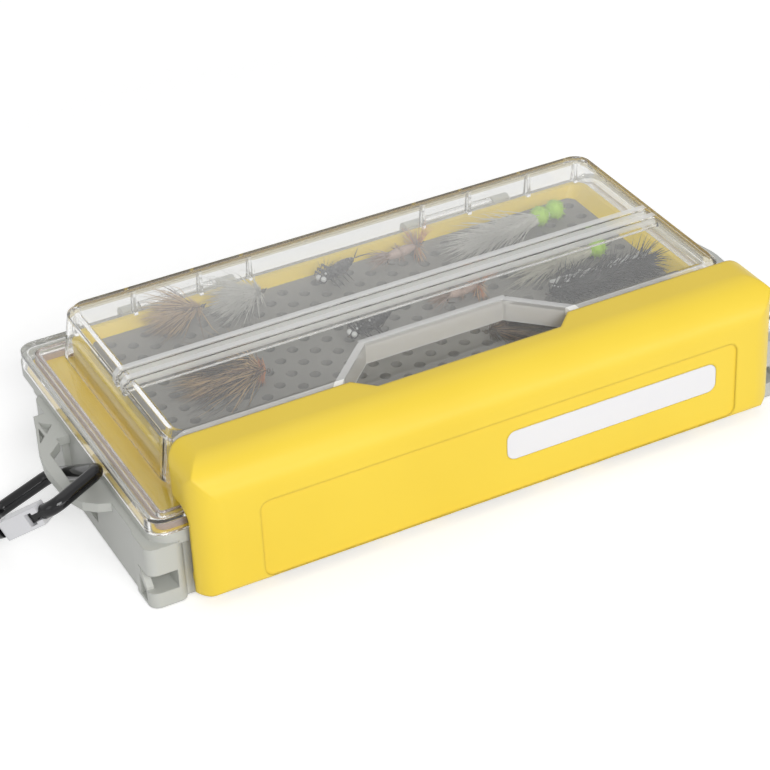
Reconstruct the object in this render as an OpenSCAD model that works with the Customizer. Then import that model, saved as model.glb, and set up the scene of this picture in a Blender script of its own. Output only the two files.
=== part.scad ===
// Fly box: a grey base with lanyard loops, a clear hinged lid, a full-width yellow latch,
// a yellow tray with a perforated foam pad, and a small carabiner on the left loop.
// The origin is on the surface that the box stands on, under the middle of the raised lid top.

/* [Base] */
// Length of the base over its two end walls
base_len = 208; // [200:1:220]
// Reach of the base in front of the origin
base_front = 48.6; // [47:0.1:50]
// Reach of the base behind the origin
base_back = 57.5; // [57:0.1:60]
// Thickness of the base's walls
base_wall = 2.6; // [2:0.1:4]
// Thickness of the base's end walls
end_wall = 4.4; // [3:0.1:6]
// Thickness of the base's floor
floor_t = 2; // [1.5:0.1:3]
// Height of the base's upper edge, with the lanyard loops
body_z = 20; // [19.6:0.1:20.4]
// Height of the rim above that edge, up to the tray
rim_h = 1.8; // [1.4:0.1:2.4]
// Plan radius of the base's corners
base_r = 7; // [4:0.5:10]
// Height of the narrower foot at the base's rear corners
foot_h = 12; // [6:0.5:16]
// Thickness of the two dividers under the tray
divider_t = 1.8; // [1.2:0.1:3]
// Distance of a divider from the middle
divider_x = 34; // [20:1:60]

/* [Lid] */
// Length of the lid's flange
lid_len = 205; // [200:1:212]
// Reach of the lid's flange in front of the origin
lid_front = 50.5; // [49:0.1:52]
// Reach of the lid's flange behind the origin
lid_back = 52.8; // [50:0.1:53]
// Width of the lid's flange at each end, outside the raised top's foot
end_flange = 10.5; // [9.5:0.1:13]
// Thickness of the lid's walls
lid_t = 2; // [1.6:0.1:2.4]
// Depth of the flange's outer skirt
skirt_h = 5.4; // [4.5:0.1:6]
// Height of the closed lid's top over the surface below
lid_top_z = 45; // [44:0.5:50]
// Length of the raised top, at its top
top_len = 180; // [170:1:181]
// How much further back the raised top reaches at its foot
top_draft = 2; // [0.5:0.1:2.5]
// Reach of the raised top in front of the origin
top_front = 38.2; // [36:0.1:38.4]
// Reach of the raised top behind the origin, at its top
top_back = 43; // [40:0.1:44]
// Plan radius of the raised top's corners
top_r = 6; // [4:0.5:10]
// Bevel round the raised top's upper edge
top_bevel = 1.6; // [0.8:0.1:2.4]
// Depth of the finger recess under the top
recess_h = 7; // [4:0.1:9]
// Half the length of the recess along its rear edge
recess_half = 22.5; // [15:0.5:30]
// How far the recess reaches back from the top's front edge
recess_back = 15.2; // [10:0.1:20]
// Drop of the two stiffening ribs under the top
rib_h = 3.6; // [2:0.1:5]
// Thickness of a stiffening rib
rib_t = 1.8; // [1.2:0.1:2.5]
// Distance of each rib from the line between them
rib_gap = 2.7; // [2:0.1:5]
// Place of the line between the ribs, measured to the front of the origin
rib_y = 1.2; // [-5:0.1:8]
// Width of the short upright ribs inside the rear wall
post_w = 1.2; // [0.8:0.1:2]
// Depth of the short upright ribs
post_d = 1.6; // [1:0.1:2.4]

/* [Latch] */
// Length of the latch over its end walls
latch_len = 189.1; // [184:0.1:190]
// Distance of the latch's middle to the right of its hinge's middle
latch_mid = 1.95; // [1:0.05:2.5]
// Reach of the latch's face in front of the origin
latch_front = 58.2; // [57.8:0.1:60]
// Thickness of the latch's walls
latch_t = 2; // [1.6:0.1:2.2]
// Radius of the latch's long upper edge
latch_r = 11; // [8:0.5:13]
// Plan radius of the latch's front corners
latch_plan_r = 8; // [5:0.5:12]
// Plan radius of the latch's rear corners
latch_rear_r = 5; // [3:0.5:6]
// Radius of the latch's upper end edges
latch_end_r = 7; // [3:0.5:9]
// Height of the latch's lower edge over the surface below
latch_z = 3; // [2.6:0.1:3.6]
// Width of the latch's end walls below the lid's flange
cheek_w = 5.8; // [4:0.1:7]
// Depth of the notch in the latch's rear edge
notch_h = 5.8; // [3:0.1:8]
// Half the length of the notch along its front edge
notch_half = 29.5; // [20:0.5:32]
// Thickness of the four press ribs inside the latch
press_t = 1.6; // [1.2:0.1:3]
// Length of the shallow panel on the latch's face
panel_len = 155; // [130:1:160]
// Height of the shallow panel
panel_h = 25.5; // [20:0.5:27]
// Depth of the shallow panel
panel_t = 0.6; // [0.3:0.1:0.8]
// Length of the label
label_len = 70.7; // [40:0.1:72]
// Height of the label
label_h = 9.6; // [6:0.1:14]
// Radius of the label's corners
label_r = 2.8; // [1:0.1:3]
// Thickness of the label
label_t = 0.5; // [0.3:0.1:0.6]
// Distance of the label's middle to the right of the origin
label_x = 39.3; // [30:0.1:40]
// Height of the label's middle
label_z = 19.8; // [16:0.1:22]

/* [Tray] */
// Thickness of the tray's flange and floor
tray_t = 1.4; // [1.2:0.1:1.8]
// Height of the tray's rim over the tray's flange
tray_rise = 11.2; // [9:0.1:12]
// Width of the tray's rim at the ends, from its outside to the foam
tray_rim = 5.2; // [4:0.1:8]
// Width of the tray's rim along the front and rear
tray_rim_y = 3.4; // [2.6:0.1:6]
// Thickness of the foam
foam_t = 8.6; // [6:0.1:9.4]
// Diameter of the foam's holes
hole_d = 3.3; // [2:0.1:4]
// Spacing of the foam's columns of holes
hole_dx = 5.66; // [5:0.01:8]
// Spacing of the holes in one column
hole_dy = 7.6; // [6:0.1:10]

/* [Ends] */
// Reach of a lanyard loop out of the end wall
loop_out = 10; // [9:0.1:14]
// Length of a lanyard loop along the end wall
loop_len = 52; // [44:0.5:56]
// Thickness of a lanyard loop
loop_t = 3; // [2.6:0.1:3.2]
// Width of a lanyard loop's bar
loop_bar = 3.8; // [3:0.1:4.2]
// Place of the loop's middle behind the origin
loop_y = 1.5; // [-1:0.1:4]
// Length of the hole in a loop
loop_hole = 23.6; // [20:0.1:26]
// Depth of the corner blocks, front to back
block_d = 13; // [10:0.1:18]
// Width of the corner blocks
block_w = 11.5; // [9:0.1:12]
// Height of the slot's lower face in a corner block
slot_z = 5; // [4:0.1:7]
// Height of the slot in a corner block
slot_h = 6; // [4.5:0.1:8]

/* [Hinges] */
// Diameter of the hinge pins
pin_d = 2.5; // [2:0.1:3]
// Running clearance round a hinge pin
pin_gap = 0.05; // [0.03:0.01:0.1]
// Height of the latch's hinge line
latch_pin_z = 6.3; // [6:0.1:7]
// Reach of the latch's hinge line in front of the origin
latch_pin_y = 52.5; // [52.2:0.1:53]
// Radius of the latch's hinge knuckles
latch_knuckle_r = 3.3; // [3:0.1:3.5]
// Height of the lid's hinge line
lid_pin_z = 26.6; // [26:0.1:27]
// Reach of the lid's hinge line behind the origin
lid_pin_y = 55; // [54.8:0.1:56]
// Radius of the lid's hinge knuckles
lid_knuckle_r = 3; // [2.6:0.1:3.1]
// Inner end of each lid hinge, from the middle
hinge_in = 30; // [20:1:34]
// Outer end of each lid hinge, from the middle
hinge_out = 68; // [60:1:76]
// Length of one fixed hinge lug
lug_len = 6; // [4:0.5:8]
// Side clearance between neighbouring knuckles
lug_gap = 0.3; // [0.2:0.05:0.6]

/* [Carabiner] */
// Diameter of the carabiner's rod
rod_d = 4.4; // [4:0.1:4.6]
// Height of the gate, across the carabiner's plane
gate_h = 6; // [5:0.1:7]
// Length of the fixed nose that the gate closes on
nose_len = 2; // [1:0.1:4]
// Thickness of the gate's sheet
gate_t = 1; // [0.7:0.1:1.2]
// Diameter of the gate's rivet
rivet_d = 1.4; // [1.2:0.1:1.6]

/* [Hidden] */
$fn = 64;

cut = 1; // overshoot of a cutting solid past a face
seat = 0.3; // clearance between pieces that meet when the box is closed

// Stack of the rim: ledge, tray flange, gasket, lid
ledge_z = body_z + rim_h;
tray_z = ledge_z;
gasket_z = tray_z + tray_t;
gasket_h = 2;
gasket_w = 2;
rim_lip_t = 1.5;
rim_z = gasket_z + 0.1;
skirt_z = rim_z + seat;
flange_z = skirt_z + skirt_h;
rim_x = lid_len / 2 - 0.5;
rim_front = lid_front - 0.5;
tray_x = rim_x - rim_lip_t - seat;
tray_front = rim_front - rim_lip_t - seat;
tray_back = lid_back - lid_t - seat;
gasket_x = tray_x - 1.2;
corner_r = 4;

// Raised top of the lid
posts = [30, 46.5, 68, 85.5]; // places of the upright ribs, each side
foot_x = lid_len / 2 - end_flange;
foot_back = top_back + top_draft;
recess_z = lid_top_z - recess_h;

// Wall of the tray inside the raised top
tray_top_z = gasket_z + tray_rise;
wall_gap = 0.8; // clearance between the tray's end walls and the raised top's inner skin
wall_x = min(foot_x - lid_t, skin_x(tray_top_z)) - wall_gap;
wall_front = top_front - lid_t - 0.6;
wall_back = top_back - lid_t + 0.4;

// Half the length of the raised top's inner skin at a height
function skin_x(z) = foot_x - lid_t
    + (top_len / 2 - foot_x) * (z - flange_z + lid_t) / (lid_top_z - top_bevel - flange_z);
tray_floor_z = tray_z - tray_t / 2;
foam_z = tray_floor_z + tray_t;
foam_top_z = foam_z + foam_t;
foam_x = wall_x - tray_rim;
foam_front = wall_front - tray_rim_y;
foam_back = wall_back - tray_rim_y;

// Latch
latch_half = latch_len / 2;
latch_x = latch_half - latch_mid; // half the length that the hinge has to itself, the same on both sides
latch_rise = 4.7; // rise of the lower edge at the right end, clear of the corner block when the latch swings
latch_rise_w = 5.7;
latch_back = top_front + 0.5;
latch_base_r = 2; // radius of the latch's lower front edge
press_z = flange_z + seat;
latch_lugs = [26, latch_x - 12.5]; // middles of the fixed lugs, each side
latch_lug_len = 8;
latch_pin_half = latch_x - latch_t - 0.4;
press_x = [48, 72]; // middles of the press ribs, each side

// Ends
end_x = base_len / 2;
loop_gap = 1.5; // clearance of the loops outside the lid's flange
loop_x = max(end_x, lid_len / 2 + loop_gap);
hole_x = loop_out - loop_bar; // reach of the loop's hole out of the end wall
well_back = 1.5; // how much further back a well reaches under the loop, for the swinging carabiner
block_back = lid_front - block_d;

// Carabiner: corners of its centre line in its own plane, with their bend radii
ring = [[-1, -0.2], [30.8, -17.6], [46.6, -4.1], [29.5, 14.9], [6.2, 14.9]];
ring_r = [3.5, 5, 4.5, 5, 4];
ring_off = [-1.4, -20, 7.7]; // place of the plane's own zero, from the middle of the left loop's root
ring_at = [-loop_x, loop_y, body_z] + ring_off;
ring_tilt = [3.8, 34, 132.9]; // turns of the plane about X, Y and Z
pivot_back = 2.2; // distance of the gate's pivot from the bend at the far end

function unit(v) = v / norm(v);
function heading(v) = atan2(v[1], v[0]);
function next(i) = (i + 1) % len(ring);
function before(i) = (i + len(ring) - 1) % len(ring);
function run_dir(i) = unit(ring[next(i)] - ring[i]);
function turn(i) = (heading(run_dir(i)) - heading(run_dir(before(i))) + 720) % 360;
function cut_back(i) = ring_r[i] * tan(turn(i) / 2);
function run_start(i) = ring[i] + cut_back(i) * run_dir(i);
function run_end(i) = ring[next(i)] - cut_back(next(i)) * run_dir(i);
function bend_start(i) = ring[i] - cut_back(i) * run_dir(before(i));
function left_of(v) = [-v[1], v[0]];
function bend_centre(i) = bend_start(i) + ring_r[i] * left_of(run_dir(before(i)));

lap = 0.15; // overlap of a straight with a bend
gate_side = 3; // the straight stretch that the gate closes
gate_dir = heading(run_dir(gate_side));
pivot = run_start(gate_side) + pivot_back * run_dir(gate_side);
gate_len = norm(run_end(gate_side) - run_start(gate_side)) - pivot_back - nose_len - seat;
tongue_r = rod_d / 2 - gate_t;
tongue_h = gate_h - 2 * gate_t - 1;

// Tee on the nose, and the gate's hook and web round it
tee_neck = 2.6;
tee_head = 2.2;
tee_w = 2;
tee_t = 1.6;
tee_h = 3;
tee_gap = 0.4; // clearance of the tee in the gate's slot
gate_web = 2;
slot_from = gate_len + seat - tee_neck - tee_head - tee_gap;
slot_to = gate_len + seat - tee_neck + 0.1;
spring_from = 2.4;
spring_t = 0.4;
spring_w = 2.4;

// ---- helpers ----

// Rectangle with round corners
module rounded(x0, x1, y0, y1, r) {
    translate([x0 + r, y0]) square([x1 - x0 - 2 * r, y1 - y0]);
    translate([x0, y0 + r]) square([x1 - x0, y1 - y0 - 2 * r]);
    for (x = [x0 + r, x1 - r], y = [y0 + r, y1 - r]) translate([x, y]) circle(r);
}

// Slab with round plan corners, symmetrical left and right
module slab(x, front, back, r, z0, z1) {
    translate([0, 0, z0]) linear_extrude(z1 - z0) rounded(-x, x, -front, back, r);
}

// Ring of one width between an outer outline and its inset
module frame(x, front, back, r, width, z0, z1) {
    difference() {
        slab(x, front, back, r, z0, z1);
        slab(x - width, front - width, back - width, max(r - width, 1), z0 - cut, z1 + cut);
    }
}

// Bar along X with a profile drawn in Y and Z
module along_x(x0, x1) {
    translate([x0, 0, 0]) rotate([90, 0, 90]) linear_extrude(x1 - x0) children();
}

// Round bar along X
module rod_x(x0, x1, y, z, r) {
    along_x(x0, x1) translate([y, z]) circle(r);
}

module both_sides() {
    children();
    mirror([1, 0, 0]) children();
}

// ---- base ----

// Outline of the base's body: the end walls stop short of the rear corners
module base_plan(rear_in) {
    rounded(-end_x + 4.6 + rear_in, end_x - 4.6 - rear_in, -base_front, base_back - rear_in, base_r);
    rounded(-end_x, end_x, -base_front, 38, base_r - 3);
}

module corner_block() {
    x1 = end_x + 0.6;
    x0 = x1 - block_w;
    lip_y = -lid_front + 8;
    difference() {
        linear_extrude(body_z) rounded(x0, x1, -lid_front, -block_back, 3);
        corner_slot(x0 + 3);
    }
    // upturned end of the lower jaw, with its hollow outer face
    difference() {
        along_x(x1 - 2.2, x1) polygon([[-lid_front + 3, slot_z - 1], [lip_y + 1, slot_z - 1],
            [lip_y + 1, slot_z + slot_h - 0.4], [lip_y - 1, slot_z + slot_h - 0.4], [-lid_front + 3, slot_z + 0.8]]);
        jaw_hollow(x1, lip_y);
    }
}

// Slot, open at the end of the box and at the front
module corner_slot(x0) {
    translate([x0, -lid_front - cut, slot_z]) cube([block_w, 8 + cut, slot_h]);
}

module jaw_hollow(x1, lip_y) {
    along_x(x1 - 1.2, x1 + cut) polygon([[-lid_front + 3.4, 1.2], [lip_y - 0.4, 1.2],
        [lip_y - 0.4, slot_z + 3], [-lid_front + 3.4, slot_z - 0.6]]);
}

// Outline of a lanyard loop: X is out of the end wall, Y along it; its root reaches back into the wall
module loop_outline() {
    h = loop_len / 2;
    root = loop_x - end_x + cut;
    polygon([[-root, h], [0.36 * loop_out, h], [0.42 * loop_out, 0.9 * h], [0.82 * loop_out, 0.38 * h],
        [0.98 * loop_out, 0.06 * h], [loop_out, -0.05 * h], [0.94 * loop_out, -0.54 * h],
        [0.7 * loop_out, -0.81 * h], [0.36 * loop_out, -0.93 * h], [-root, -1.01 * h]]);
}

module loop_hole_outline() {
    h = loop_hole / 2;
    polygon([[-cut, -h], [hole_x - 1.4, -h], [hole_x, -h + 1.4], [hole_x, h - 6.4],
        [0.6, h - 1], [-cut, h - 1]]);
}

module lanyard_loop() {
    h = loop_len / 2;
    translate([loop_x, loop_y, body_z - loop_t]) difference() {
        linear_extrude(loop_t) loop_outline();
        translate([0, 0, -cut]) linear_extrude(loop_t + 2 * cut) loop_hole_outline();
        // sunk pockets beside the V-shaped ribs at the loop's rear root
        translate([0, 0, loop_t - 1.8]) linear_extrude(1.8 + cut) {
            polygon([[0.34 * loop_out, 0.86 * h], [0.4, 0.74 * h], [0.34 * loop_out, 0.6 * h]]);
            polygon([[0.45 * loop_out, 0.74 * h], [0.43 * loop_out, 0.57 * h], [0.67 * loop_out, 0.46 * h]]);
        }
    }
}

module latch_lug(middle) {
    x0 = middle - latch_lug_len / 2;
    x1 = middle + latch_lug_len / 2;
    difference() {
        union() {
            rod_x(x0, x1, -latch_pin_y, latch_pin_z, latch_knuckle_r);
            along_x(x0, x1) translate([-latch_pin_y, latch_pin_z - latch_knuckle_r])
                square([latch_pin_y - base_front + cut, 2 * latch_knuckle_r]);
        }
        rod_x(x0 - cut, x1 + cut, -latch_pin_y, latch_pin_z, pin_d / 2);
    }
}

module lid_lug(x0) {
    difference() {
        union() {
            rod_x(x0, x0 + lug_len, lid_pin_y, lid_pin_z, lid_knuckle_r);
            translate([x0, lid_back + seat, body_z - 1])
                cube([lug_len, lid_pin_y + lid_knuckle_r - lid_back - seat, lid_pin_z - body_z + 1]);
        }
        rod_x(x0 - cut, x0 + lug_len + cut, lid_pin_y, lid_pin_z, pin_d / 2);
    }
}

module base_shell() {
    strip_y = lid_back + 0.8; // front of the raised strip behind the lid
    color([0.72, 0.73, 0.70]) difference() {
        union() {
            difference() {
                union() {
                    linear_extrude(foot_h) base_plan(3);
                    translate([0, 0, foot_h]) linear_extrude(body_z - foot_h) base_plan(0);
                }
                both_sides() corner_slot(end_x + 3.6 - block_w);
            }
            // rim under the lid's flange, with a lip round the tray's flange
            slab(rim_x, rim_front, base_back, base_r, body_z - 1, ledge_z);
            difference() {
                slab(rim_x, rim_front, base_back, base_r, body_z - 1, rim_z);
                slab(rim_x - rim_lip_t, rim_front - rim_lip_t, tray_back + seat, corner_r, body_z - 2, rim_z + cut);
            }
            // raised strip along the rear
            intersection() {
                slab(rim_x - 2, rim_front, base_back, base_r, body_z - 1, lid_pin_z - 1.6);
                translate([-end_x, strip_y, 0]) cube([2 * end_x, base_back, lid_top_z]);
            }
            both_sides() {
                corner_block();
                lanyard_loop();
                for (m = latch_lugs) latch_lug(m);
            }
        }
        both_sides() jaw_hollow(end_x + 0.6, -lid_front + 8);
        // inside
        translate([0, 0, floor_t]) difference() {
            linear_extrude(ledge_z) rounded(-end_x + end_wall + 4.6, end_x - end_wall - 4.6,
                -base_front + base_wall, base_back - base_wall - 4, 4);
            for (s = [-1, 1]) translate([s * divider_x - divider_t / 2, -base_front, -cut])
                cube([divider_t, base_front + base_back, tray_floor_z - seat - floor_t + cut]);
        }
        // wells in the end walls behind the loops' holes
        both_sides() translate([end_x - 2.2, loop_y - loop_hole / 2, 4]) {
            cube([4, loop_hole, body_z - 4]);
            cube([4, loop_hole + well_back, body_z - loop_t - 4]);
        }
        // rear pockets for the lid's knuckles
        both_sides() translate([hinge_in, lid_pin_y - lid_knuckle_r - seat, lid_pin_z - lid_knuckle_r - seat])
            cube([hinge_out - hinge_in, 20, 20]);
    }
    color([0.72, 0.73, 0.70]) both_sides() {
        lid_lug(hinge_in);
        lid_lug(hinge_out - lug_len);
    }
}

// ---- seal and tray ----

module rim_gasket() {
    color([0.86, 0.80, 0.78])
        frame(gasket_x, tray_front - 1.2, tray_back - 1.2, corner_r - 1.2, gasket_w, gasket_z, gasket_z + gasket_h);
}

module fly_tray() {
    color([0.96, 0.80, 0.12]) difference() {
        union() {
            slab(tray_x, tray_front, tray_back, corner_r, tray_z, tray_z + tray_t);
            slab(wall_x, wall_front, wall_back, top_r - 1, tray_floor_z, tray_top_z);
        }
        // room for the foam
        slab(foam_x, foam_front, foam_back, 3, foam_z, tray_top_z + cut);
        // slope from the rim down to the foam
        hull() {
            slab(foam_x, foam_front, foam_back, 3, foam_top_z, foam_top_z + 0.1, $fn = 32);
            slab(wall_x - 1.6, wall_front - 1.6, wall_back - 1.6, 4, tray_top_z, tray_top_z + cut, $fn = 32);
        }
    }
}

module foam_pad() {
    columns = floor((foam_x - 3) / hole_dx);
    rows = floor((foam_front + foam_back - 8) / hole_dy);
    mid_y = (foam_back - foam_front) / 2;
    color([0.62, 0.62, 0.59]) translate([0, 0, foam_z]) linear_extrude(foam_t) difference() {
        rounded(-foam_x, foam_x, -foam_front, foam_back, 3);
        for (c = [-columns:columns], r = [0:rows - abs(c) % 2])
            translate([c * hole_dx, mid_y + (r - (rows - abs(c) % 2) / 2) * hole_dy]) circle(d = hole_d, $fn = 24);
    }
}

// ---- lid ----

// Outer or, with an inset, inner skin of the raised top
module raised_top(inset, z0) {
    r = max(top_r - inset, 2);
    x = top_len / 2 - inset;
    top = lid_top_z - inset;
    hull() {
        slab(foot_x - inset, top_front - inset, foot_back - inset, r, z0, z0 + 0.2, $fn = 32);
        slab(x, top_front - inset, top_back - inset, r, top - top_bevel - 0.2, top - top_bevel, $fn = 32);
        slab(x - top_bevel, top_front - inset - top_bevel, top_back - inset - top_bevel, r - top_bevel / 2,
            top - 0.2, top, $fn = 32);
    }
}

// Finger recess, with sides at 45 degrees in plan, grown by a wall
module recess(grow, z0) {
    back_y = -top_front + recess_back + grow;
    back_half = recess_half + grow * (sqrt(2) - 1);
    run = recess_back + grow + cut;
    translate([0, 0, z0]) linear_extrude(lid_top_z) polygon([[-back_half, back_y], [back_half, back_y],
        [back_half + run, back_y - run], [-back_half - run, back_y - run]]);
}

module lid_knuckle() {
    x0 = hinge_in + lug_len + lug_gap;
    x1 = hinge_out - lug_len - lug_gap;
    rod_x(x0, x1, lid_pin_y, lid_pin_z, lid_knuckle_r);
    translate([x0, lid_back - 1, lid_pin_z - lid_knuckle_r + 0.2])
        cube([x1 - x0, lid_pin_y - lid_back + 1, flange_z - lid_pin_z + lid_knuckle_r - 0.2]);
}

module lid() {
    color([0.88, 0.92, 0.94, 0.35]) difference() {
        union() {
            slab(lid_len / 2, lid_front, lid_back, corner_r + 1, flange_z - lid_t, flange_z);
            frame(lid_len / 2, lid_front, lid_back, corner_r + 1, lid_t - 0.2, skirt_z, flange_z);
            // rib that presses the gasket
            frame(gasket_x - 0.4, tray_front - 1.6, tray_back - 1.6, corner_r - 1.6, gasket_w - 0.8,
                gasket_z + gasket_h + 0.2, flange_z);
            raised_top(0, flange_z - lid_t);
            both_sides() lid_knuckle();
        }
        difference() {
            raised_top(lid_t, flange_z - lid_t - 0.2);
            recess(lid_t, recess_z - lid_t);
            // stiffening ribs under the top
            for (s = [-1, 1]) translate([-lid_len / 2, -rib_y + s * rib_gap - rib_t / 2, lid_top_z - lid_t - rib_h])
                cube([lid_len, rib_t, rib_h]);
            // upright ribs on the rear wall, above the tray's rim
            both_sides() for (x = posts)
                translate([x - post_w / 2, top_back - lid_t - post_d, tray_top_z + seat])
                    cube([post_w, 10, lid_top_z]);
        }
        recess(0, recess_z);
        both_sides() {
            rod_x(hinge_in, hinge_out, lid_pin_y, lid_pin_z, pin_d / 2 + pin_gap);
            // room for the fixed lugs
            for (x = [hinge_in, hinge_out - lug_len])
                rod_x(x - lug_gap, x + lug_len + lug_gap, lid_pin_y, lid_pin_z, lid_knuckle_r + seat);
        }
    }
}

module lid_pin_right() {
    color([0.8, 0.8, 0.8]) rod_x(hinge_in + 0.5, hinge_out - 0.5, lid_pin_y, lid_pin_z, pin_d / 2);
}

module lid_pin_left() {
    mirror([1, 0, 0]) lid_pin_right();
}

// ---- latch ----

// Side view of the latch, inset by a wall; an inset one is open below and behind
module latch_side(inset) {
    front = -latch_front + inset;
    top = lid_top_z - inset;
    r = latch_r - inset;
    low = inset > 0 ? -cut : latch_z;
    low_r = inset > 0 ? 0 : latch_base_r;
    back = -latch_back + (inset > 0 ? cut : 0);
    translate([front + r, low]) square([back - front - r, top - low]);
    translate([front, low + low_r]) square([r, top - low - low_r - r]);
    translate([front + r, top - r]) circle(r);
    if (inset == 0) {
        translate([front + low_r, low]) square([r - low_r, low_r]);
        translate([front + low_r, low + low_r]) circle(low_r);
    }
}

// Plan of the latch, with round front and rear corners
module latch_plan(inset) {
    x = latch_half - inset;
    front = -latch_front + inset;
    back = -latch_back + (inset > 0 ? cut : 0);
    intersection() {
        rounded(-x, x, front, back + latch_front, latch_plan_r - inset);
        rounded(-x, x, front - latch_front, back, latch_rear_r - inset / 2);
    }
}

// Front view of the latch, with round upper ends
module latch_face(inset) {
    x = latch_half - inset;
    intersection() {
        rounded(-x, x, -lid_top_z, lid_top_z - inset, latch_end_r - inset / 2);
        translate([-x, -cut]) square([2 * x, lid_top_z + 2 * cut]);
    }
}

module latch_block(inset) {
    translate([latch_mid, 0, 0]) intersection() {
        along_x(-latch_half, latch_half) latch_side(inset);
        linear_extrude(lid_top_z) latch_plan(inset);
        rotate([90, 0, 0]) linear_extrude(latch_front) latch_face(inset);
    }
}

// Knuckle with its web into the latch's front wall
module latch_knuckle(x0, x1) {
    rod_x(x0, x1, -latch_pin_y, latch_pin_z, latch_knuckle_r);
    along_x(x0, x1) translate([-latch_front + latch_t / 2 - cut, latch_z + 0.2])
        square([latch_front - latch_pin_y - latch_t / 2 + cut, latch_pin_z + latch_knuckle_r - latch_z - 0.2]);
}

module latch() {
    knuckle_len = 7;
    reach = latch_lug_len / 2 + lug_gap;
    cheek_y = -latch_front + cheek_w;
    color([0.96, 0.80, 0.12]) difference() {
        union() {
            difference() {
                latch_block(0);
                latch_block(latch_t);
                // end walls: clear of the lid's flange, narrow below it
                along_x(latch_mid - latch_half - cut, latch_mid + latch_half + cut) {
                    translate([cheek_y, -cut]) square([40, press_z + 1.2 - 4 + cut]);
                    translate([cheek_y + 4, -cut]) square([40, press_z + 1.2 + cut]);
                    translate([cheek_y + 4, press_z + 1.2 - 4]) circle(4);
                }
                // lower edge at the right end
                translate([latch_mid + latch_half, 0, latch_z]) rotate([90, 0, 0]) linear_extrude(latch_front + cut)
                    polygon([[-latch_rise_w, 0], [cut, latch_rise], [cut, -latch_z - cut], [-latch_rise_w, -latch_z - cut]]);
            }
            // knuckles, kept inside the wall's round corners
            intersection() {
                translate([latch_mid, 0, 0]) linear_extrude(lid_top_z) latch_plan(latch_t / 2);
                both_sides() for (m = latch_lugs) {
                    latch_knuckle(m - reach - knuckle_len, m - reach);
                    latch_knuckle(m + reach, m + reach + knuckle_len);
                }
            }
            // press ribs over the lid's flange
            both_sides() for (x = press_x) along_x(x - press_t / 2, x + press_t / 2)
                translate([-latch_front + latch_t / 2, press_z])
                    square([latch_front - latch_back - latch_t - 3, lid_top_z - latch_t / 2 - press_z - latch_r / 2]);
        }
        // notch at the finger recess, with ends at 45 degrees
        translate([0, 0, recess_z - 1]) linear_extrude(20) polygon([
            [-notch_half, -latch_back - notch_h], [notch_half, -latch_back - notch_h],
            [notch_half + notch_h + cut, -latch_back + cut], [-notch_half - notch_h - cut, -latch_back + cut]]);
        // shallow panel and the label's seat
        translate([label_x + label_len / 2 + 7 - panel_len, -latch_front - cut, latch_z + 1.2])
            rotate([90, 0, 0]) translate([0, 0, -panel_t - cut]) linear_extrude(panel_t + cut)
                rounded(0, panel_len, 0, panel_h, 3);
        label_solid(0.1, label_t);
        both_sides() rod_x(-cut, latch_pin_half + 0.2, -latch_pin_y, latch_pin_z, pin_d / 2 + pin_gap);
    }
}

// Label blank, grown all round, set into the panel
module label_solid(grow, depth) {
    r = label_h / 2;
    translate([label_x, -latch_front + panel_t + depth, label_z]) rotate([90, 0, 0])
        linear_extrude(depth + (grow > 0 ? panel_t + cut : 0))
            rounded(-label_len / 2 - grow, label_len / 2 + grow, -r - grow, r + grow, label_r + grow);
}

module latch_label() {
    color("white") label_solid(0, label_t);
}

module latch_pin() {
    color([0.8, 0.8, 0.8]) rod_x(-latch_pin_half, latch_pin_half, -latch_pin_y, latch_pin_z, pin_d / 2);
}

// ---- carabiner ----

module in_ring_plane() {
    translate(ring_at) rotate(ring_tilt) children();
}

// Gate's own frame: zero at the pivot, X towards the free end, Y out of the ring
module in_gate_frame() {
    in_ring_plane() translate(pivot) rotate(gate_dir) mirror([0, 1, 0]) children();
}

module bend(i) {
    translate(bend_centre(i)) rotate(heading(run_dir(before(i))) - 90)
        rotate_extrude(angle = turn(i)) translate([ring_r[i], 0]) circle(d = rod_d, $fn = 32);
}

// Straight rod; a lapped end runs a little way into the bend there
module straight(from, to, lap_from = lap, lap_to = lap) {
    length = norm(to - from) + lap_from + lap_to;
    translate(from - lap_from * unit(to - from)) rotate(heading(to - from)) rotate([0, 90, 0])
        cylinder(d = rod_d - 0.02, h = length, $fn = 32);
}

module carabiner_body() {
    tip = gate_len + seat;
    color([0.08, 0.08, 0.09]) {
        in_ring_plane() {
            for (i = [0:len(ring) - 1]) bend(i);
            for (i = [0:len(ring) - 1]) if (i != gate_side) straight(run_start(i), run_end(i));
            // nose, from the last bend to the gate's free end
            straight(pivot + tip * run_dir(gate_side), run_end(gate_side), 0);
        }
        // tongue that carries the rivet
        in_gate_frame() difference() {
            union() {
                cylinder(r = tongue_r, h = tongue_h, center = true);
                translate([-pivot_back - 0.5, -tongue_r, -tongue_h / 2])
                    cube([pivot_back + 0.5, 2 * tongue_r, tongue_h]);
            }
            cylinder(d = rivet_d, h = gate_h, center = true);
        }
        // tee on the nose that the gate hooks over
        in_gate_frame() {
            translate([tip - tee_neck, -tee_w / 2, -tee_t / 2]) cube([tee_neck + 0.5, tee_w, tee_t]);
            translate([tip - tee_neck - tee_head, -tee_w / 2, -tee_h / 2]) cube([tee_head, tee_w, tee_h]);
        }
    }
}

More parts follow.
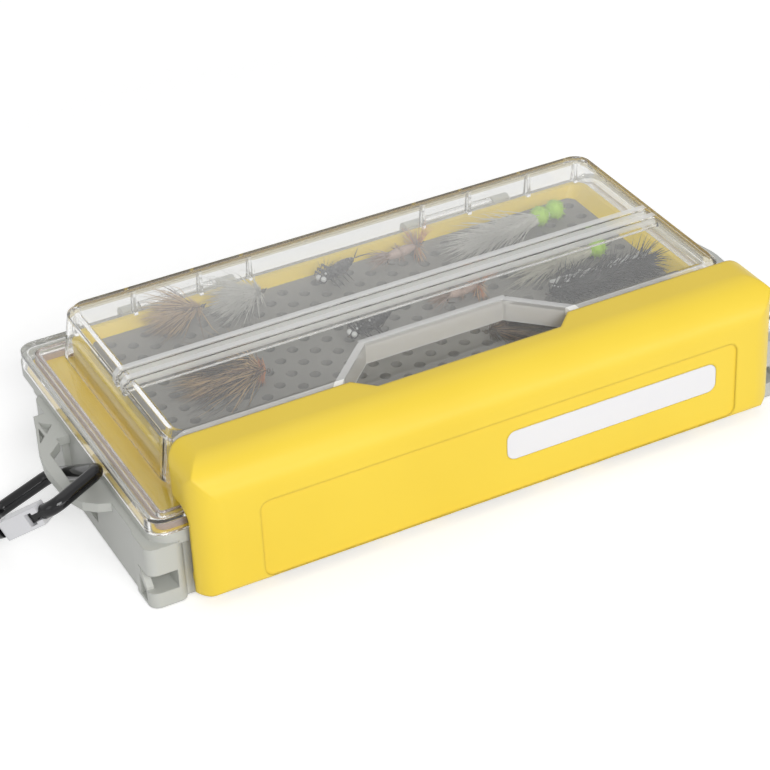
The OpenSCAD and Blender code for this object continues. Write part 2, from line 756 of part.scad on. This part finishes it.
module carabiner_gate() {
    deep = rod_d / 2;
    slot_w = tee_h + 2 * tee_gap;
    hook_w = tee_t + 2 * tee_gap;
    color([0.82, 0.82, 0.84]) in_gate_frame() difference() {
        union() {
            translate([0, -deep, -gate_h / 2]) cube([gate_len, 2 * deep, gate_h]);
            cylinder(r = deep, h = gate_h, center = true);
        }
        // channel, open towards the inside of the ring
        translate([-2 * deep, -2 * deep, -gate_h / 2 + gate_t])
            cube([2 * deep + slot_from - gate_web, 3 * deep - gate_t, gate_h - 2 * gate_t]);
        // slot for the tee on the nose
        translate([slot_from, -2 * deep, -slot_w / 2]) cube([slot_to - slot_from, 4 * deep, slot_w]);
        translate([slot_from, -2 * deep, -hook_w / 2]) cube([gate_len, 4 * deep, hook_w]);
        cylinder(d = rivet_d + 2 * pin_gap, h = 2 * gate_h, center = true);
    }
}

module gate_rivet() {
    color([0.7, 0.7, 0.7]) in_gate_frame() cylinder(d = rivet_d, h = gate_h + 0.4, center = true);
}

// Leaf spring on the inside of the gate
module gate_spring() {
    color([0.75, 0.75, 0.75]) in_gate_frame()
        translate([spring_from, tongue_r - spring_t, -spring_w / 2])
            cube([slot_from - gate_web - 0.1 - spring_from, spring_t, spring_w]);
}

base_shell();
rim_gasket();
fly_tray();
foam_pad();
lid();
lid_pin_left();
lid_pin_right();
latch();
latch_pin();
latch_label();
carabiner_body();
carabiner_gate();
gate_rivet();
gate_spring();
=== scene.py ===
import math
import random

import bpy
from mathutils import Matrix, Vector


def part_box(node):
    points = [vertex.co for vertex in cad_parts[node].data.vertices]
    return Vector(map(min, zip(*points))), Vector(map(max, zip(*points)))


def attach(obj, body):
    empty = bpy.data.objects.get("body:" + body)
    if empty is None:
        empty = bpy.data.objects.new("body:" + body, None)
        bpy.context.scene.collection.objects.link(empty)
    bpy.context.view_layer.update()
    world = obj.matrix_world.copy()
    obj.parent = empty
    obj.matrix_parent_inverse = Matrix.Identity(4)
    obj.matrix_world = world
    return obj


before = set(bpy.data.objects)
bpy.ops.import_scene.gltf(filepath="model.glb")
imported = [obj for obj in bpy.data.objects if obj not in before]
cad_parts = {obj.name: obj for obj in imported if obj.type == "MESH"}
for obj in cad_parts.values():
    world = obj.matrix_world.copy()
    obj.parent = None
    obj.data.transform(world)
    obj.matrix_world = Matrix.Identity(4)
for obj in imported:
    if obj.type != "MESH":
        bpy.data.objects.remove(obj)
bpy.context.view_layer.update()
MM = 0.001
WHITE = (1, 1, 1, 1)
scene = bpy.context.scene
rng = random.Random(7)


# ---- camera: recovered from the vanishing points of the box's edges ----

PHOTO_WIDTH = 770.0    # pixels
FOCAL_LENGTH = 2449.477    # pixels
SENSOR_WIDTH = 36.0
CAMERA_PLACE = Vector((-275.328, -554.463, 422.0))    # millimetres
RIGHT = Vector((0.88580454, -0.46211637, -0.04241196))
DOWN = Vector((-0.28780771, -0.47538082, -0.83137224))
AHEAD = Vector((0.36402889, 0.7486398, -0.55409514))

cam_data = bpy.data.cameras.new("camera")
camera = bpy.data.objects.new("camera", cam_data)
scene.collection.objects.link(camera)
pose = Matrix((RIGHT, -DOWN, -AHEAD)).transposed().to_4x4()
pose.translation = CAMERA_PLACE * MM
camera.matrix_world = pose
cam_data.sensor_width = SENSOR_WIDTH
cam_data.sensor_fit = "HORIZONTAL"
cam_data.lens = FOCAL_LENGTH / PHOTO_WIDTH * SENSOR_WIDTH
cam_data.clip_start = 0.01
scene.camera = camera


# ---- node helpers ----


class Tree:
    """The nodes of a material or world, with short calls for the kinds that are used here."""

    def __init__(self, owner, output):
        owner.use_nodes = True
        self.owner, self.nt = owner, owner.node_tree
        self.nt.nodes.clear()
        self.out = self.nt.nodes.new(output)

    def node(self, kind, **values):
        """A node. i0 is its first input, p_x its property x, other keys are its inputs' names."""
        n = self.nt.nodes.new(kind)
        for key, value in values.items():
            if key.startswith("p_"):
                setattr(n, key[2:], value)
                continue
            numbered = key[0] == "i" and key[1:].isdigit()
            socket = n.inputs[int(key[1:]) if numbered else key.replace("_", " ")]
            if hasattr(value, "is_output"):
                self.nt.links.new(value, socket)
            else:
                socket.default_value = value
        return n

    def coords(self):
        tex = self.node("ShaderNodeTexCoord")
        mapping = self.node("ShaderNodeMapping", Vector=tex.outputs["Object"])
        return mapping.outputs["Vector"]

    def axes(self):
        """Place on the piece in metres, as its three numbers."""
        split = self.node("ShaderNodeSeparateXYZ", Vector=self.coords())
        return [split.outputs[i] for i in range(3)]

    def noise(self, scale, detail):
        n = self.node("ShaderNodeTexNoise", Vector=self.coords(), Scale=scale, Detail=detail,
                      Roughness=0.5)
        return n.outputs["Fac"]

    def ramp(self, fac, low, high):
        """Colour that drifts from low to high over the middle of the noise's range."""
        n = self.node("ShaderNodeValToRGB", Fac=fac)
        for element, place, color in zip(n.color_ramp.elements, (0.3, 0.7), (low, high)):
            element.position = place
            element.color = color + (1,)
        return n.outputs["Color"]

    def span(self, fac, low, high, start=0.0, end=1.0):
        """Number that goes from low to high while fac goes from start to end."""
        n = self.node("ShaderNodeMapRange", Value=fac, From_Min=start, From_Max=end,
                      To_Min=low, To_Max=high)
        return n.outputs["Result"]

    def bump(self, height, strength, distance, normal):
        n = self.node("ShaderNodeBump", Height=height, Strength=strength, Distance=distance)
        if normal is not None:
            self.nt.links.new(normal, n.inputs["Normal"])
        return n.outputs["Normal"]

    def edge(self, radius):
        return self.node("ShaderNodeBevel", p_samples=4, Radius=radius).outputs["Normal"]

    def math(self, operation, a, b=0.0, c=0.0):
        return self.node("ShaderNodeMath", p_operation=operation, i0=a, i1=b, i2=c).outputs[0]

    def near(self, value, middle, reach):
        return self.math("COMPARE", value, middle, reach)

    def both(self, a, b):
        return self.math("MULTIPLY", a, b)

    def either(self, a, b):
        return self.math("MAXIMUM", a, b)

    def blend(self, fac, a, b):
        n = self.node("ShaderNodeMix", p_data_type="RGBA", i0=fac, i6=a + (1,), i7=b + (1,))
        return n.outputs[2]

    def seen(self):
        """One for rays that show a surface: the camera's, a mirror's and those through glass."""
        path = self.node("ShaderNodeLightPath")
        direct = self.either(path.outputs["Is Camera Ray"], path.outputs["Is Glossy Ray"])
        return self.either(direct, path.outputs["Is Transmission Ray"])

    def done(self, shader):
        self.nt.links.new(shader, self.out.inputs["Surface"])
        return self.owner


def new_material(name):
    return Tree(bpy.data.materials.new(name), "ShaderNodeOutputMaterial")


# ---- materials ----

DRIFT_SCALE, WEAR_SCALE = 18.0, 60.0
SPARK_DEPTH = 0.00005


def plastic(name, low, high, rough, spark=3600.0, bump=0.06, edge=0.0004, spec=0.5):
    """Moulded plastic: slight colour drift, fine spark texture, worn-soft edges."""
    m = new_material(name)
    color = m.ramp(m.noise(DRIFT_SCALE, 2.0), low, high)
    roughness = m.span(m.noise(WEAR_SCALE, 3.0), *rough)
    normal = m.bump(m.noise(spark, 2.0), bump, SPARK_DEPTH, m.edge(edge) if edge else None)
    p = m.node("ShaderNodeBsdfPrincipled", Base_Color=color, Roughness=roughness, Normal=normal,
               Specular_IOR_Level=spec)
    return m.done(p.outputs[0])


# Places on the lid in metres, of its parts with painted highlights and reflections and of its rim
# with painted refraction colour.
TOP_LOW = 0.0425
RIB_LOW, RIB_FRONT, RIB_REAR, RIB_REACH = 0.0410, -0.0039, 0.0015, 0.0011
RECESS_LOW, RECESS_REAR, RECESS_REACH, RECESS_SIDE = 0.0362, -0.022, 0.0012, 0.0240
SLANT_SUM, SLANT_REACH, SLANT_REAR = 0.0009, 0.0016, -0.0221    # the sum is that of |x| and y
LIP_REAR = -0.0364
RIM_LOW, RIM_REAR, RIM_RIGHT = 0.0405, 0.0402, 0.0872
PAINTED_SHEEN_START, PAINTED_SHEEN_END = -0.004, 0.034
# How milky each part is, from 0 to 1: a slight even haze, then painted highlights and reflections
# as white.
HAZE_ALL, PAINTED_SHEEN_REAR, PAINTED_HIGHLIGHT_RIBS, PAINTED_REFLECTION_WALLS, PAINTED_HIGHLIGHT_LIP = 0.02, 0.13, 0.55, 0.45, 0.4
# painted refraction colour: the tray as seen through the lid's thick rim
PAINTED_REFRACTION_TINT = (0.45, 0.38, 0.21)
LAMP_TINT = (0.93, 0.93, 0.92, 1)


def clear(name, tint):
    """Clear plastic with painted highlights and reflections as milky white on ribs, recess and
    lip, and painted refraction colour on its rim, that lets the lamps through to what it covers.
    """
    m = new_material(name)
    x, y, z = m.axes()
    side = m.math("ABSOLUTE", x)
    # stiffening ribs and the top over them
    lanes = m.math("ADD", m.near(y, RIB_REAR, RIB_REACH), m.near(y, RIB_FRONT, RIB_REACH))
    ribs = m.both(m.math("GREATER_THAN", z, RIB_LOW), lanes)
    # walls of the finger recess
    rear = m.both(m.near(y, RECESS_REAR, RECESS_REACH), m.math("LESS_THAN", side, RECESS_SIDE))
    slant = m.both(m.near(m.math("ADD", side, y), SLANT_SUM, SLANT_REACH),
                   m.math("LESS_THAN", y, SLANT_REAR))
    walls = m.both(m.math("GREATER_THAN", z, RECESS_LOW), m.either(rear, slant))
    # painted sheen: the top is whiter towards the rear (a painted reflection) and at its front lip
    # (a painted highlight)
    on_top = m.math("GREATER_THAN", z, TOP_LOW)
    painted_rear_sheen = m.both(on_top, m.span(y, 0.0, PAINTED_SHEEN_REAR, PAINTED_SHEEN_START, PAINTED_SHEEN_END))
    lip = m.both(on_top, m.math("LESS_THAN", y, LIP_REAR))
    haze_and_painted_sheen = m.math("ADD", HAZE_ALL, painted_rear_sheen)
    # painted highlights on the ribs and front lip and a painted reflection on the recess walls, as
    # white
    for part, share in ((ribs, PAINTED_HIGHLIGHT_RIBS), (walls, PAINTED_REFLECTION_WALLS), (lip, PAINTED_HIGHLIGHT_LIP)):
        haze_and_painted_sheen = m.math("ADD", haze_and_painted_sheen, m.both(part, share))
    # painted refraction: the thick upper edges at the rear and right are coloured like the tray
    # seen through them
    edges = m.either(m.math("GREATER_THAN", y, RIM_REAR), m.math("GREATER_THAN", x, RIM_RIGHT))
    rim = m.both(m.math("GREATER_THAN", z, RIM_LOW), edges)
    p = m.node("ShaderNodeBsdfPrincipled", Base_Color=m.blend(rim, tint, PAINTED_REFRACTION_TINT), Roughness=0.02,
               IOR=1.5, Normal=m.bump(m.noise(30.0, 2.0), 0.02, 0.0002, m.edge(0.0005)),
               Specular_IOR_Level=0.25, Transmission_Weight=m.math("SUBTRACT", 1.0, haze_and_painted_sheen))
    path = m.node("ShaderNodeLightPath")
    lamps = m.either(path.outputs["Is Shadow Ray"], path.outputs["Is Diffuse Ray"])
    through = m.node("ShaderNodeBsdfTransparent", Color=LAMP_TINT)
    mix = m.node("ShaderNodeMixShader", i0=lamps, i1=p.outputs[0], i2=through.outputs[0])
    return m.done(mix.outputs[0])


def dress(node, material):
    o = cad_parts[node]
    if not o.material_slots:
        o.data.materials.append(material)
    for slot in o.material_slots:
        slot.material = material


GREY = plastic("grey plastic", (0.50, 0.51, 0.475), (0.56, 0.57, 0.535), (0.38, 0.5), edge=0.0005)
YELLOW = plastic("yellow plastic", (0.86, 0.62, 0.042), (0.90, 0.66, 0.052), (0.34, 0.42),
                 edge=0.0012)
TRAY = plastic("yellow tray plastic", (0.86, 0.62, 0.012), (0.90, 0.66, 0.02), (0.3, 0.4))
LABEL = plastic("white label", (0.80, 0.80, 0.83), (0.83, 0.83, 0.86), (0.35, 0.45),
                bump=0.02, edge=0.0003)
SEAL = plastic("seal rubber", (0.36, 0.27, 0.25), (0.44, 0.34, 0.31), (0.5, 0.6))
FOAM = plastic("foam", (0.24, 0.235, 0.215), (0.30, 0.29, 0.27), (0.85, 0.95),
               spark=2000.0, bump=0.6, edge=0.0, spec=0.1)
STEEL = plastic("steel", (0.6, 0.6, 0.6), (0.68, 0.68, 0.68), (0.25, 0.35), edge=0.0002)
CLEAR = clear("clear lid", (0.97, 0.972, 0.965))
BLACK = plastic("black anodised rod", (0.004, 0.004, 0.005), (0.008, 0.008, 0.009), (0.06, 0.1),
                bump=0.02, edge=0.0, spec=0.35)
GATE = plastic("silver gate", (0.62, 0.62, 0.64), (0.72, 0.72, 0.74), (0.25, 0.35), edge=0.0003)

for material, nodes in (
    (GREY, ("base_shell",)),
    (SEAL, ("rim_gasket",)),
    (TRAY, ("fly_tray",)),
    (FOAM, ("foam_pad",)),
    (CLEAR, ("lid",)),
    (YELLOW, ("latch",)),
    (LABEL, ("latch_label",)),
    (BLACK, ("carabiner_body",)),
    (GATE, ("carabiner_gate",)),
    (STEEL, ("lid_pin_left", "lid_pin_right", "latch_pin", "gate_rivet", "gate_spring")),
):
    for node in nodes:
        dress(node, material)


# ---- flies: loose contents, pinned in the foam. Their lengths are in millimetres. ----

HAIR = {
    key: plastic(name, low, high, rough, edge=0.0)
    for key, name, low, high, rough in (
        ("brown", "brown hair", (0.16, 0.085, 0.045), (0.32, 0.19, 0.10), (0.4, 0.6)),
        ("dark", "dark brown hair", (0.030, 0.018, 0.008), (0.10, 0.055, 0.02), (0.4, 0.6)),
        ("tan", "tan hair", (0.62, 0.40, 0.18), (0.78, 0.58, 0.32), (0.4, 0.6)),
        ("rust", "rust hackle", (0.60, 0.20, 0.06), (0.75, 0.34, 0.14), (0.4, 0.6)),
        ("pink", "pinkish feather", (0.40, 0.27, 0.22), (0.52, 0.38, 0.32), (0.5, 0.7)),
        ("white", "white hair", (0.72, 0.71, 0.66), (0.82, 0.81, 0.78), (0.4, 0.6)),
        ("cream", "cream hair", (0.68, 0.66, 0.54), (0.80, 0.78, 0.68), (0.4, 0.6)),
        ("black", "black hair", (0.010, 0.011, 0.010), (0.035, 0.037, 0.035), (0.3, 0.5)),
        ("green", "chartreuse fur", (0.40, 0.70, 0.03), (0.55, 0.84, 0.08), (0.5, 0.7)),
        ("shell", "black bead shell", (0.010, 0.010, 0.010), (0.03, 0.03, 0.03), (0.06, 0.12)),
        ("tinsel", "silver tinsel", (0.55, 0.56, 0.56), (0.75, 0.76, 0.76), (0.2, 0.3)),
        ("hook", "bronze hook", (0.05, 0.04, 0.03), (0.09, 0.07, 0.05), (0.2, 0.3)),
    )
}
FOAM_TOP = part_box("foam_pad")[1][2] / MM
UNDER_TOP, UNDER_RIBS, UNDER_RECESS = 42.9, 39.2, 35.9    # heights that a fly stays under
OFF_FOAM, OFF_LID = 0.15, 0.25
SHANK = 3.4    # usual height of a hook's shank over the foam
GAPE = 3.0
WIRE = 0.22
ROUND_SIDES = 10
BEAD_STEPS = 8
RIDGE_STEPS = 4
STRAND_TAPER = (0.7, 1.0, 0.8, 0.5, 0.0)
STRAND_SWAY = 0.05
HACKLE_LEAN = -0.3


def scattered(draw, *limits):
    """A vector of three random draws."""
    return Vector([draw(*limits) for _ in range(3)])


class Fly:
    """One fly in its own frame: the eye at zero, the tail towards -X, Z up from the foam."""

    def __init__(self, name, head, yaw, top):
        self.name, self.head, self.top = name, Vector(head), top
        self.cos, self.sin = math.cos(math.radians(yaw)), math.sin(math.radians(yaw))
        self.verts, self.faces, self.index, self.mats = [], [], [], []

    def place(self, p, held):
        """Point of the scene for a point of the fly, held between foam and lid where asked."""
        x = self.head.x + p[0] * self.cos - p[1] * self.sin
        y = self.head.y + p[0] * self.sin + p[1] * self.cos
        z = FOAM_TOP + p[2]
        if held:
            z = min(max(z, FOAM_TOP + OFF_FOAM), self.top - OFF_LID)
        return (x * MM, y * MM, z * MM)

    def tube(self, points, radii, mat, sides=3, held=True):
        """Closed tube along points, pointed where an end's radius is zero."""
        if mat not in self.mats:
            self.mats.append(mat)
        slot = self.mats.index(mat)
        points = [Vector(p) for p in points]
        last = len(points) - 1
        rings = []
        for i, (p, r) in enumerate(zip(points, radii)):
            along = (points[min(i + 1, last)] - points[max(i - 1, 0)]).normalized()
            across = along.cross(Vector((0.13, 0.31, 0.94)))
            if across.length < 0.05:
                across = along.cross(Vector((1, 0, 0)))
            across.normalize()
            other = along.cross(across)
            first = len(self.verts)
            if r <= 0:
                self.verts.append(self.place(p, held))
                rings.append([first] * sides)
                continue
            for k in range(sides):
                turn = 2 * math.pi * k / sides
                out = (across * math.cos(turn) + other * math.sin(turn)) * r
                self.verts.append(self.place(p + out, held))
            rings.append(list(range(first, first + sides)))
        faces = []
        for a, b in zip(rings, rings[1:]):
            for k in range(sides):
                j = (k + 1) % sides
                faces.append(list(dict.fromkeys((a[k], a[j], b[j], b[k]))))
        faces += [rings[0][::-1], rings[-1]]
        for face in faces:
            if len(set(face)) > 2:
                self.faces.append(face)
                self.index.append(slot)

    def strand(self, start, way, length, mat, droop, thick):
        way = Vector(way).normalized()
        bend = scattered(rng.uniform, -STRAND_SWAY, STRAND_SWAY) + Vector((0, 0, -droop))
        steps = len(STRAND_TAPER) - 1
        points = []
        for i in range(steps + 1):
            t = i / steps
            points.append(Vector(start) + way * length * t + bend * length * t * t)
        self.tube(points, [thick * part for part in STRAND_TAPER], mat)

    def hair(self, n, start, way, spread, length, mats, droop=0.15, thick=0.14, depth=0.8):
        """Bundle of hairs that leave the body together."""
        for _ in range(n):
            aim = Vector(way).normalized() + scattered(rng.gauss, 0, spread)
            root = Vector(start) + scattered(rng.uniform, -depth, depth)
            self.strand(root, aim, length * rng.uniform(0.6, 1.05), rng.choice(mats), droop, thick)

    def hackle(self, n, x, length, mats, z=SHANK, thick=0.11):
        """Feather wound round the shank, its barbs standing out all round."""
        for _ in range(n):
            turn = 2 * math.pi * rng.random()
            way = (HACKLE_LEAN + rng.uniform(-0.25, 0.25), math.cos(turn), math.sin(turn))
            root = (x + rng.uniform(-0.8, 0.8), 0, z)
            self.strand(root, way, length * rng.uniform(0.7, 1.05), rng.choice(mats), 0.02, thick)

    def body(self, x0, x1, width, mat, z=SHANK, ridges=9, depth=0.12):
        """Dubbed body, fullest in the middle, with the ridges of its winding."""
        count = ridges * RIDGE_STEPS
        points, radii = [], []
        for i in range(count + 1):
            t = i / count
            points.append((x0 + (x1 - x0) * t, 0, z))
            full = width * max(math.sin(math.pi * t), 0.0) ** 0.6
            radii.append(full * (1 - depth * (i % RIDGE_STEPS == 0)) if 0 < i < count else 0)
        self.tube(points, radii, mat, ROUND_SIDES)

    def bead(self, x, width, mat, z=SHANK, side=0.0):
        turns = [math.pi * i / BEAD_STEPS for i in range(BEAD_STEPS + 1)]
        points = [(x + width * math.cos(turn), side, z) for turn in turns]
        radii = [0] + [width * math.sin(turn) for turn in turns[1:-1]] + [0]
        self.tube(points, radii, mat, ROUND_SIDES)

    def hook(self, length, gape=GAPE, z=SHANK):
        """Bent wire: eye, shank, and the bend that runs down into the foam."""
        points = [(0.9, 0, z + 0.5), (0, 0, z), (-length, 0, z)]
        for i in range(1, 7):
            turn = math.pi * i / 7
            x = -length - gape / 2 * math.sin(turn)
            points.append((x, 0, z - gape / 2 * (1 - math.cos(turn))))
        points.append((-length + 2.0, 0, z - gape - 0.6))
        self.tube(points, [WIRE] * (len(points) - 1) + [0], "hook", 6, held=False)

    def done(self):
        mesh = bpy.data.meshes.new(self.name)
        mesh.from_pydata(self.verts, [], self.faces)
        for mat in self.mats:
            mesh.materials.append(HAIR[mat])
        mesh.polygons.foreach_set("material_index", self.index)
        mesh.polygons.foreach_set("use_smooth", [True] * len(mesh.polygons))
        mesh.update()
        o = bpy.data.objects.new(self.name, mesh)
        scene.collection.objects.link(o)
        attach(o, "base")


def hair_fly(name, head, yaw, length, mats, hackles, n, spread, top=UNDER_TOP, z=SHANK, wide=1.5):
    fly = Fly(name, head, yaw, top)
    fly.hook(length * 0.6, min(GAPE, z - 0.2), z)
    fly.body(-length * 0.7, -1.5, wide, mats[0], z)
    fly.hair(n, (-2.5, 0, z + 0.3), (-1, 0, 0.12), spread, length, mats, 0.10)
    fly.hair(n // 3, (-length * 0.4, 0, z), (-1, 0, 0), spread * 1.4, length * 0.55, mats)
    fly.hackle(70, -1.8, min(5.2, z + 2.2), hackles, z)
    fly.bead(-0.3, 0.7, "hook", z)
    fly.done()


def nymph(name, head, yaw, length, top):
    """Beaded black fly with jointed legs."""
    fly = Fly(name, head, yaw, top)
    fly.hook(length * 0.75)
    fly.body(-length, -2.6, 2.0, "shell", ridges=8, depth=0.3)
    fly.bead(-1.6, 1.45, "shell")
    for side in (-1, 1):
        fly.bead(-0.9, 0.9, "tinsel", 4.2, side * 1.0)
        for i in range(4):
            x = -2.4 - i * 1.7
            knee = Vector((x + rng.uniform(-0.6, 0.6), side * (3.0 + 0.5 * i),
                           4.6 + rng.uniform(-0.5, 0.8)))
            foot = knee + Vector((-1.6, side * 2.2, -3.6))
            fly.tube([(x, 0, SHANK), knee, foot], [0.42, 0.36, 0], "shell", 5)
        fly.strand((-length, 0, SHANK), (-1, side * 0.5, 0.1), 7.0, "black", 0.05, 0.22)
    fly.hair(70, (-3.5, 0, 4.2), (-1, 0, 0.35), 0.35, 6.0, ["black"], 0.1, 0.10)
    fly.hackle(24, -3.4, 3.6, ["black", "shell"], thick=0.09)
    for i in range(5):
        fly.bead(-3.2 - i * 1.35, 0.42, "tinsel", 4.75)
    fly.done()


def streamer(name, head, yaw, length, mats, heads, top):
    """Long pale fly with one green ball of fur for each place in heads."""
    fly = Fly(name, head, yaw, top)
    fly.hook(length * 0.5)
    fly.body(-length * 0.75, -3.0, 2.3, mats[0])
    for part in range(5):
        x = min(heads) - 1.5 - part * length * 0.11
        fly.hair(95, (x, 0, 3.6), (-1, 0, 0.16), 0.24, length * 0.5, mats, 0.12, 0.15, 1.3)
    for x in heads:
        fly.body(x - 3.0, x + 3.0, 3.2, "green", 3.9, ridges=3)
        for _ in range(150):
            way = scattered(rng.gauss, 0, 1)
            fly.strand((x, 0, 3.9), way, rng.uniform(3.6, 4.4), "green", 0, 0.22)
    fly.done()


def bushy_fly(name, head, yaw, length, top):
    """Black streamer with crinkled tinsel along it."""
    fly = Fly(name, head, yaw, top)
    fly.hook(length * 0.4)
    fly.body(-length * 0.8, -1.5, 2.8, "black")
    for part in range(7):
        x = -2.0 - part * length * 0.12
        fly.hair(100, (x, 0, 3.6), (-1, 0, 0.15), 0.5, length * 0.3, ["black"], 0.15, 0.18, 1.4)
    for _ in range(5):
        points, y, z = [], rng.uniform(-3.5, 3.5), rng.uniform(5.0, 6.6)
        for i in range(22):
            points.append((-2.0 - i * length * 0.042,
                           y + 1.1 * (i % 2) + rng.uniform(-0.4, 0.4),
                           z + rng.uniform(-0.5, 0.5)))
        fly.tube(points, [0.28] * (len(points) - 1) + [0], "tinsel", 4)
    fly.done()


def hackle_fly(name, head, yaw, length, top):
    fly = Fly(name, head, yaw, top)
    fly.hook(length * 0.65)
    fly.body(-length * 0.8, -1.5, 1.7, "pink")
    fly.hackle(140, -1.8, 7.5, ["rust", "pink", "tan"], thick=0.13)
    fly.hackle(60, -length * 0.45, 4.2, ["pink", "brown"])
    fly.hair(60, (-length * 0.7, 0, 3.6), (-1, 0, 0.25), 0.3, length * 0.5, ["brown", "pink"])
    fly.hair(14, (-1.0, 0, 4.2), (0.6, 0, 0.8), 0.35, 9.0, ["rust"], 0.05)
    fly.done()


hair_fly("fly_tan", (-48.5, 34.0), 5, 20, ["tan", "tan", "brown"], ["tan"], 330, 0.3, wide=2.0)
hair_fly("fly_white", (-29.0, 32.5), 4, 19, ["white"], ["white"], 320, 0.34, wide=2.0)
nymph("fly_beaded_rear", (-12.5, 28.0), 205, 17, UNDER_TOP)
hackle_fly("fly_hackle_rear", (25.0, 32.0), 8, 18, UNDER_TOP)
streamer("fly_streamer_rear", (74.0, 28.5), 10, 40, ["white"], (-3.5, -9.5), UNDER_TOP)
hair_fly("fly_brown", (-46.5, -8.5), -20, 29, ["brown", "tan", "tan", "dark"], ["rust"], 620, 0.36,
         UNDER_RIBS, wide=3.0)
nymph("fly_beaded_front", (-18.5, -4.5), 200, 18, UNDER_RIBS)
hackle_fly("fly_hackle_front", (30.0, 2.0), 6, 18, UNDER_RIBS)
streamer("fly_streamer_front", (74.0, 1.0), 0, 34, ["cream"], (-4.5,), UNDER_RIBS)
bushy_fly("fly_black", (43.0, -14.5), 180, 41, UNDER_TOP)
hair_fly("fly_dark", (17.5, -21.5), 162, 26, ["dark", "dark", "brown"], ["dark"], 650, 0.26,
         UNDER_RECESS, 2.4)


# ---- stage: white world, paper floor and four soft lamps ----

WORLD_LIGHT, WORLD_SEEN = 0.38, 1.0
FLOOR_HALF, FLOOR_HEIGHT = 4.0, -0.0004
PAPER_LOW, PAPER_HIGH = (0.79, 0.79, 0.79), (0.81, 0.81, 0.81)
GLOW_NEAR, GLOW_FAR, GLOW_START, GLOW_END = 0.46, 0.95, 0.25, 1.1

world = Tree(bpy.data.worlds.new("studio"), "ShaderNodeOutputWorld")
background = world.node("ShaderNodeBackground", Color=WHITE,
                        Strength=world.span(world.seen(), WORLD_LIGHT, WORLD_SEEN))
scene.world = world.done(background.outputs[0])


def floor():
    mesh = bpy.data.meshes.new("floor")
    r = FLOOR_HALF
    mesh.from_pydata([(-r, -r, 0), (r, -r, 0), (r, r, 0), (-r, r, 0)], [], [(0, 1, 2, 3)])
    o = bpy.data.objects.new("floor", mesh)
    o.location.z = FLOOR_HEIGHT
    scene.collection.objects.link(o)
    m = new_material("floor paper")
    paper = m.node("ShaderNodeBsdfPrincipled", Roughness=0.9, Specular_IOR_Level=0.0,
                   Base_Color=m.ramp(m.noise(300.0, 2.0), PAPER_LOW, PAPER_HIGH))
    # whiter away from the object, so that low views have no grey horizon
    x, y, _ = m.axes()
    away = m.math("SQRT", m.math("ADD", m.both(x, x), m.both(y, y)))
    strength = m.both(m.seen(), m.span(away, GLOW_NEAR, GLOW_FAR, GLOW_START, GLOW_END))
    glow = m.node("ShaderNodeEmission", Color=WHITE, Strength=strength)
    total = m.node("ShaderNodeAddShader", i0=paper.outputs[0], i1=glow.outputs[0])
    mesh.materials.append(m.done(total.outputs[0]))


floor()


def soft_light(name, place, aim, size, power):
    data = bpy.data.lights.new(name, "AREA")
    data.shape = "RECTANGLE"
    data.size, data.size_y = size
    data.energy = power
    o = bpy.data.objects.new(name, data)
    o.location = place
    o.rotation_euler = (Vector(aim) - Vector(place)).to_track_quat("-Z", "Y").to_euler()
    scene.collection.objects.link(o)


soft_light("key", (-0.2, -1.2, 0.8), (0, 0, 0.02), (0.7, 0.5), 10.0)
soft_light("low strip", (0.45, -1.15, 0.14), (0, 0, 0.03), (1.2, 0.14), 2.2)
soft_light("left", (-1.1, -0.25, 0.45), (0, 0, 0.02), (0.6, 0.5), 1.0)
soft_light("top", (0.1, 0.25, 1.2), (0, 0, 0), (1.2, 1.0), 2.0)

scene.view_settings.view_transform = "Standard"
